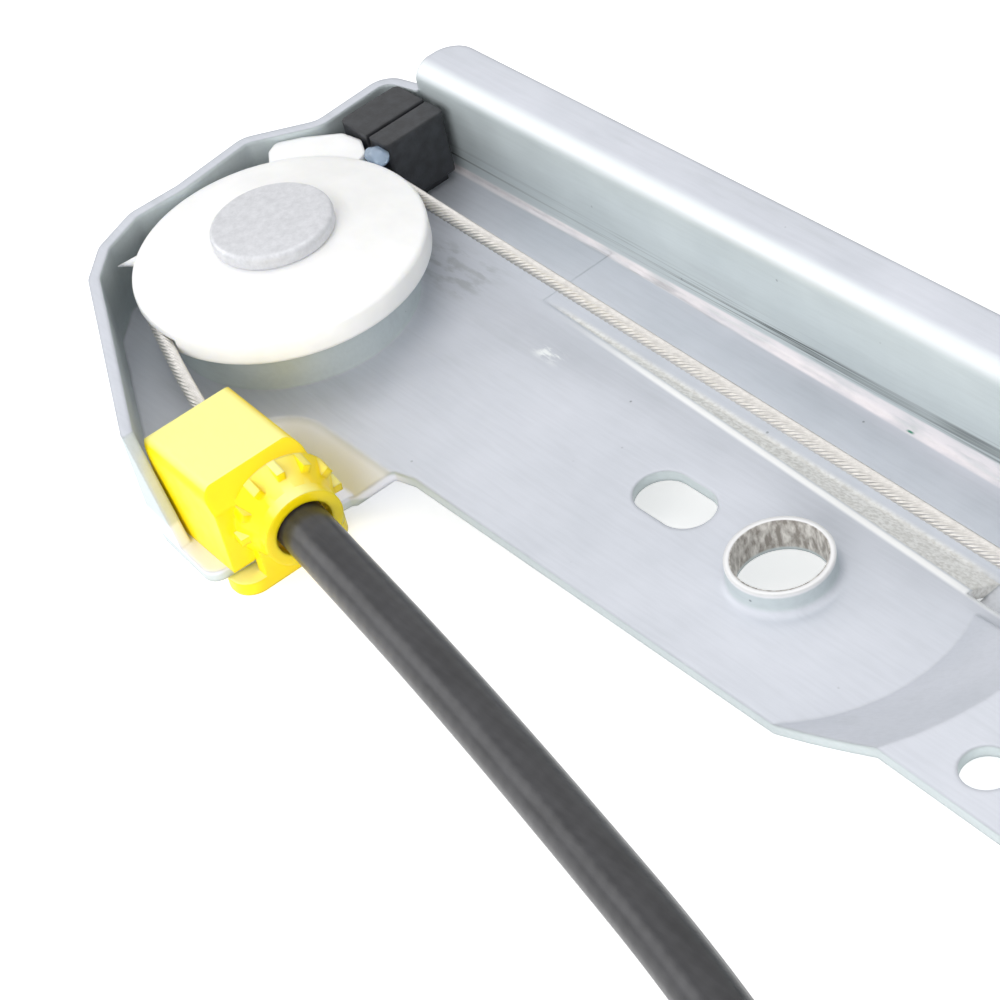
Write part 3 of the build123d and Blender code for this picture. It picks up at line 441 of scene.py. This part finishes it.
def extruded_cover(name):
    """Extruded nylon cover over a wound lining, which shows as faint rings."""
    material, tree, shader = new_material(name)
    place = object_place(tree)
    drawn = grains(tree, object_place(tree, (5, 1, 1)), 1.6)
    base = between(tree, drawn, linear("#212124"), linear("#303033"))
    rings = put(tree, "TexWave", {"Vector": place, "Scale": 0.16, "Distortion": 0.9, "Detail": 1.0},
                wave_type="BANDS", bands_direction="X").outputs[0]
    base = tinted(tree, rings, base, tinted(tree, 1.0, base, grey(1.12), "MULTIPLY"))
    normal = bumped(tree, grains(tree, place, 0.3), 0.12, 0.04, bumped(tree, rings, 0.12, 0.1))
    feed(tree, shader, {"Base Color": base, "Roughness": 0.30, "Normal": normal, "IOR": 1.5})
    return material


def clear_grease(name):
    """Clear bearing grease: wet, faintly blue, with light through it."""
    material, tree, shader = new_material(name)
    normal = bumped(tree, grains(tree, object_place(tree), 0.7), 0.5, 0.2)
    feed(tree, shader, {"Base Color": linear("#BCD0E6"), "Roughness": 0.16, "Transmission Weight": 0.55,
                        "IOR": 1.47, "Normal": normal})
    return material


def moulded_rubber(name):
    """Moulded rubber: near black, dull, with a mould's fine grain."""
    material, tree, shader = new_material(name)
    place = object_place(tree)
    base = between(tree, grains(tree, place, 1.5), linear("#232427"), linear("#303236"))
    normal = bumped(tree, grains(tree, place, 0.3), 0.3, 0.06, rounded(tree, 0.6))
    feed(tree, shader, {"Base Color": base, "Roughness": 0.5, "Normal": normal})
    return material


finishes = {
    "zinc_plated_steel": zinc_plated_sheet("zinc_plated_cold_rolled_sheet"),
    "rivet_steel": headed_steel("cold_headed_rivet_steel"),
    "guide_plastic": moulded_plastic("moulded_white_acetal", "#F1F1F0", "#F8F8F7", rough=0.34, glow=0.25),
    # the yellow nylon's paler top is a painted sheen
    "fitting_plastic": moulded_plastic("moulded_yellow_nylon", "#FFDD00", "#FFE408", rough=0.36, glow=0.3,
                                       painted_top_sheen="#FFF596"),
    "bumper_rubber": moulded_rubber("moulded_black_rubber"),
    "conduit_cover": extruded_cover("extruded_black_nylon_cover"),
    "rope_steel": drawn_wire("stranded_greased_wire"),
    "slider_plastic": moulded_plastic("moulded_natural_acetal", "#E6E5DF", "#EFEEE9", rough=0.4, glow=0.2),
    "nipple_zinc": headed_steel("cast_zinc_nipple"),
    "pad_rubber": moulded_rubber("moulded_clamp_rubber"),
    "screw_steel": headed_steel("zinc_plated_screw_steel"),
    "housing_plastic": moulded_plastic("moulded_black_glass_filled_nylon", "#26272A", "#303236", rough=0.5,
                                       grain=0.4, strength=0.25),
    "spring_steel": drawn_wire("drawn_spring_wire"),
}
rail_finish = zinc_plated_sheet("zinc_plated_deep_drawn_sheet", rail_wear_and_painted_light)
slot_of = {part["node"]: part["material_slot"] for part in frame["record"]["subparts"]}


MERGED_WITHIN = 0.01 * MM
SHARP_FROM = radians(24)


def smoothing():
    """Node group that joins the facets and shades them smooth, except across sharp edges."""
    group = bpy.data.node_groups.new("smooth facets", "GeometryNodeTree")
    group.interface.new_socket("Geometry", in_out="INPUT", socket_type="NodeSocketGeometry")
    group.interface.new_socket("Geometry", in_out="OUTPUT", socket_type="NodeSocketGeometry")
    names = ("NodeGroupInput", "GeometryNodeMergeByDistance", "GeometryNodeSetShadeSmooth",
             "GeometryNodeSetShadeSmooth", "NodeGroupOutput")
    chain = [group.nodes.new(name) for name in names]
    for before, after in zip(chain, chain[1:]):
        group.links.new(before.outputs[0], after.inputs[0])
    chain[1].inputs["Distance"].default_value = MERGED_WITHIN
    chain[3].domain = "EDGE"
    chain[3].inputs["Shade Smooth"].default_value = False
    angle = group.nodes.new("GeometryNodeInputMeshEdgeAngle")
    sharp = group.nodes.new("ShaderNodeMath")
    sharp.operation = "GREATER_THAN"
    sharp.inputs[1].default_value = SHARP_FROM
    group.links.new(angle.outputs["Unsigned Angle"], sharp.inputs[0])
    group.links.new(sharp.outputs[0], chain[3].inputs["Selection"])
    return group


smooth_facets = smoothing()
for node, piece in nodes.items():
    piece.data.materials.clear()
    piece.data.materials.append(rail_finish if node == "guide_rail" else finishes[slot_of[node]])
    piece.modifiers.new("smooth facets", "NODES").node_group = smooth_facets
for conduit in conduits:
    conduit.data.materials.append(finishes["conduit_cover"])


# ---------------------------------------------------------------- small leftovers of making and fitting
def leftover(name, mesh, finish):
    """Small piece on the regulator's body, from a bmesh in metres."""
    bmesh.ops.recalc_face_normals(mesh, faces=mesh.faces)
    piece = mesh_piece(name, mesh, finish)
    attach(piece, "regulator")


def add_flash(end, root, tip):
    """Sliver of moulding flash that stands off the cable guide's rim."""
    root_radius, tip_radius, flatness = 1.25 * MM, 0.06 * MM, 0.3
    mesh = bmesh.new()
    run = from_guide(*tip) - from_guide(*root)
    bmesh.ops.create_cone(mesh, cap_ends=True, segments=10, radius1=root_radius, radius2=tip_radius,
                          depth=run.length)
    bmesh.ops.subdivide_edges(mesh, edges=mesh.edges, cuts=2, use_grid_fill=True)
    bmesh.ops.scale(mesh, verts=mesh.verts, vec=(1.0, flatness, 1.0))
    middle = (from_guide(*tip) + from_guide(*root)) / 2
    bmesh.ops.transform(mesh, matrix=aimed(middle, run, "Z", "X"), verts=mesh.verts)
    leftover(end + "_guide_flash", mesh, finishes["guide_plastic"])


def add_grease(end, place, size):
    """Dab of grease squeezed out between the cable guide's lobe and the bumper."""
    lump_height, lumps_across = 0.16, 1.7
    mesh = bmesh.new()
    bmesh.ops.create_icosphere(mesh, subdivisions=4, radius=1.0)
    for vertex in mesh.verts:
        vertex.co *= 1.0 + lump_height * noise.noise(vertex.co * lumps_across)
    bmesh.ops.scale(mesh, verts=mesh.verts, vec=Vector(size) * MM)
    bmesh.ops.translate(mesh, verts=mesh.verts, vec=from_guide(*place))
    leftover(end + "_grease_dab", mesh, clear_grease("clear_bearing_grease"))


add_flash("upper", root=(-12.6, -10.6, 8.3), tip=(-14.2, -14.3, 8.6))
add_grease("upper", place=(-4.9, 19.0, 8.7), size=(1.9, 1.3, 1.2))


# ---------------------------------------------------------------- wire ropes
ARC_RADIUS, ARC_Y, ROPE_LEVEL = 17.6, 0.75, 6.8
ROPE_ON, ROPE_OFF = 251.1, 88.1       # degrees round the guide at which it meets and leaves it
LEAD_OFF = 12.0                       # straight part just after the guide
RUN_Y, RUN_LEVEL = 16.45, 4.9
WIRES = 12
GROOVE = 0.28                         # depth between two wires, of the rope's radius
LAY_LENGTH = 9.6                      # one turn of a wire
RING_GAP = 0.36
WIRE_ROPE = 1.78                      # outside of the wires, within the plain rope


def arc_corner(angle, reach=1.0):
    """Point that far out along a direction from the centre of the rope's arc."""
    turn = radians(angle)
    return (ARC_RADIUS * reach * cos(turn), ARC_Y + ARC_RADIUS * reach * sin(turn), ROPE_LEVEL)


def on_tangent(angle, distance):
    """Point on the arc's tangent, ahead of or behind the point in that direction."""
    x, y, z = arc_corner(angle)
    return (x + distance * sin(radians(angle)), y - distance * cos(radians(angle)), z)


def round_guide():
    """The rope's turn round the guide, as the corners of a shape that the arc touches inside."""
    turns = 6
    step = (ROPE_ON - ROPE_OFF) / turns
    reach = 1 / cos(radians(step / 2))
    return [arc_corner(ROPE_ON - step * (i + 0.5), reach) for i in range(turns)]


def rope_route(step, holder_end):
    """The whole rope, from the drum to its nipple."""
    return ([along_port(12.0, step)] + limb(step)[-2:0:-1]
            + [(21.0, -22.9, 2.4), on_tangent(ROPE_ON, -18.6), on_tangent(ROPE_ON, -1.5)]
            + round_guide()
            + [on_tangent(ROPE_OFF, 1.5), on_tangent(ROPE_OFF, LEAD_OFF), (96.0, 16.58, 5.07),
               (104.0, RUN_Y, RUN_LEVEL), (112.0, RUN_Y, RUN_LEVEL), (holder_end, RUN_Y, RUN_LEVEL)])


def even_points(points, gap):
    """Points that far apart along the same line."""
    spread = [points[0]]
    travelled = 0.0
    for a, b in zip(points, points[1:]):
        run = (b - a).length
        while travelled + run >= gap:
            a = a.lerp(b, (gap - travelled) / run)
            run = (b - a).length
            travelled = 0.0
            spread.append(a)
        travelled += run
    spread.append(points[-1])
    return spread


def stranded_rope(name, end, route):
    """Rope of twisted strands, ring by ring along its line."""
    points = even_points(spline_points("rope line", route), RING_GAP * MM)
    mesh = bmesh.new()
    facets = WIRES * 4
    outline = []
    for k in range(facets):
        angle = 2 * pi * k / facets
        lobe = abs(cos(angle * WIRES / 2))
        outline.append((angle, WIRE_ROPE / 2 * MM * (1 - GROOVE + GROOVE * lobe)))
    upright = Vector((0, 0, 1))
    rings = []
    for i, here in enumerate(points):
        ahead = points[min(i + 1, len(points) - 1)] - points[max(i - 1, 0)]
        side = ahead.cross(upright).normalized()
        up = side.cross(ahead).normalized()
        twist = 2 * pi * i * RING_GAP / LAY_LENGTH
        rings.append([mesh.verts.new(here + (side * cos(a + twist) + up * sin(a + twist)) * r)
                      for a, r in outline])
    for first, second in zip(rings, rings[1:]):
        for k in range(facets):
            n = (k + 1) % facets
            mesh.faces.new((first[k], first[n], second[n], second[k]))
    mesh.faces.new(rings[0][::-1])
    mesh.faces.new(rings[-1])
    bmesh.ops.recalc_face_normals(mesh, faces=mesh.faces)
    rope = mesh_piece(name, mesh, finishes["rope_steel"])
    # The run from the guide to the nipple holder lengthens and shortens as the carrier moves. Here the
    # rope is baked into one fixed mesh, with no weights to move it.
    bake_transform(rope)
    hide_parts(end + "_rope")


# The upper rope's box reaches on to the drum, so its run goes 74 mm past its nipple: a fault.
holder_ends = {"upper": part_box("upper_rope")[1].x / MM - GUIDE_X,
               "lower": GUIDE_SPACING - (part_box("lower_rope")[0].x / MM - GUIDE_X)}
stranded_rope("upper_wire_rope", "upper", rope_route(ROPE_STEP, holder_ends["upper"]))
stranded_rope("lower_wire_rope", "lower", opposite(rope_route(-ROPE_STEP, holder_ends["lower"])))


# ---------------------------------------------------------------- floor and light
FLOOR_HALF, FLOOR_GAP = 3.0, 0.00005  # half its width, and the air under the part, metres
FLOOR_LIFT = 0.52                     # light added where it is seen, so that it looks white


def add_floor():
    """White sheet that the regulator lies on, shown white apart from its shadows."""
    material, tree, shader = new_material("white_paper_floor")
    feed(tree, shader, {"Base Color": linear("#EDEDED"), "Roughness": 0.9})
    seen = any_ray(tree, "Camera", "Glossy", "Transmission")
    lift = put(tree, "Emission", {"Color": grey(1.0), "Strength": FLOOR_LIFT})
    lifted = put(tree, "AddShader", {0: shader.outputs[0], 1: lift.outputs[0]})
    mixed = put(tree, "MixShader", {0: seen, 1: shader.outputs[0], 2: lifted.outputs[0]})
    output = next(node for node in tree.nodes if node.type == "OUTPUT_MATERIAL")
    feed(tree, output, {"Surface": mixed.outputs[0]})
    mesh = bmesh.new()
    bmesh.ops.create_grid(mesh, x_segments=1, y_segments=1, size=FLOOR_HALF)
    bmesh.ops.translate(mesh, verts=mesh.verts, vec=(0, 0, BENCH - FLOOR_GAP))
    mesh_piece("floor", mesh, material, smooth=False)


def add_lamp(name, place, size, power, mirrored=True):
    """Square soft box aimed at the collared hole; metal shows it only where it is mirrored."""
    lamp = bpy.data.lights.new(name, "AREA")
    lamp.size = size
    lamp.energy = power
    box = link_to_scene(bpy.data.objects.new(name, lamp))
    box.visible_glossy = mirrored
    box.matrix_world = aimed(place, -place, "-Z", "Y")


ROOM_LIGHT, ROOM_SHOWN = 0.70, 1.0    # what the room lights with, and what is seen of it


def add_sky():
    """White room round the object."""
    world = bpy.data.worlds.new("white room")
    bpy.context.scene.world = world
    world.use_nodes = True
    tree = world.node_tree
    tree.nodes.clear()
    seen = any_ray(tree, "Camera", "Glossy")
    room = put(tree, "Background", {"Color": grey(1.0), "Strength": ROOM_LIGHT})
    shown = put(tree, "Background", {"Color": grey(1.0), "Strength": ROOM_SHOWN})
    mixed = put(tree, "MixShader", {0: seen, 1: room.outputs[0], 2: shown.outputs[0]})
    put(tree, "OutputWorld", {"Surface": mixed.outputs[0]})


add_floor()
add_sky()
add_lamp("soft box above", Vector((-0.15, 0.1, 0.9)), size=0.9, power=1.5)
add_lamp("soft box left", Vector((-0.9, -0.6, 0.5)), size=0.6, power=2.0)
add_lamp("soft box front", Vector((0.35, -0.9, 0.4)), size=0.9, power=10.0, mirrored=False)

bpy.context.scene.view_settings.view_transform = "Standard"
